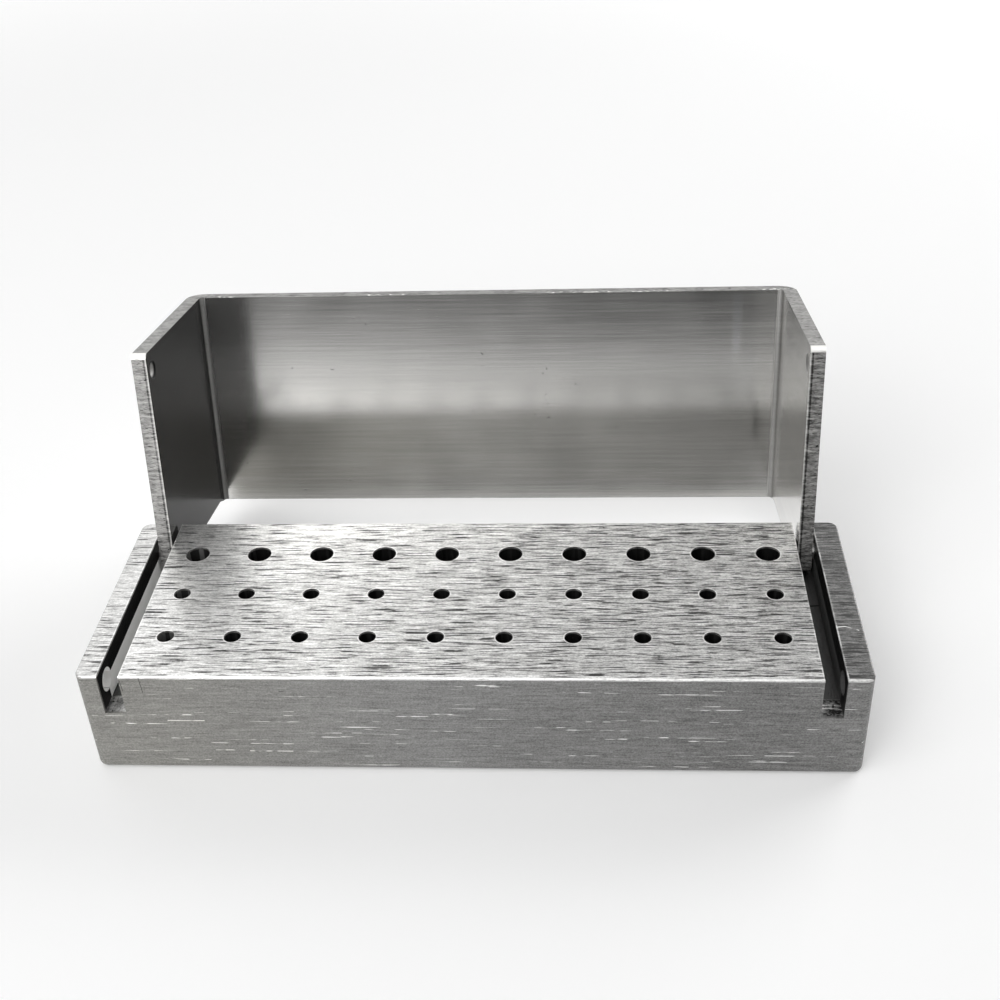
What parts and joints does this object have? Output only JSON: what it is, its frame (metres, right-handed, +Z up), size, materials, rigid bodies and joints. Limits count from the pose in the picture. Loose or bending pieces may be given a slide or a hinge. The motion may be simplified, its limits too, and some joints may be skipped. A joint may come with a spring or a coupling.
{
  "type": "dental bur holder",
  "caption": "Brushed aluminium bur block with rows of shank holes and a hinged U-shaped cover standing open behind it.",
  "frame": {"origin": "middle of the block's flat underside, on the surface that it stands on", "axes": "+X along the rows of holes to the right, +Y from the front towards the open cover, +Z up out of the holes"},
  "size_m": [0.075, 0.0478, 0.0327],
  "materials": {
    "brushed_block": "brushed along the block's length",
    "satin_cover": "satin, as extruded, with sawn edges",
    "pin_steel": "plain turned steel"
  },
  "bodies": {
    "holder": {"bur_block": "brushed_block", "left_hinge_pin": "pin_steel", "right_hinge_pin": "pin_steel"},
    "lid": {"cover": "satin_cover"}
  },
  "joints": [
    {"name": "cover_hinge", "type": "hinge", "parent": "holder", "child": "lid", "pos_m": [0, 0.0105, 0.0098], "axis": [1, 0, 0], "range_deg": [0, 100.4]}
  ]
}
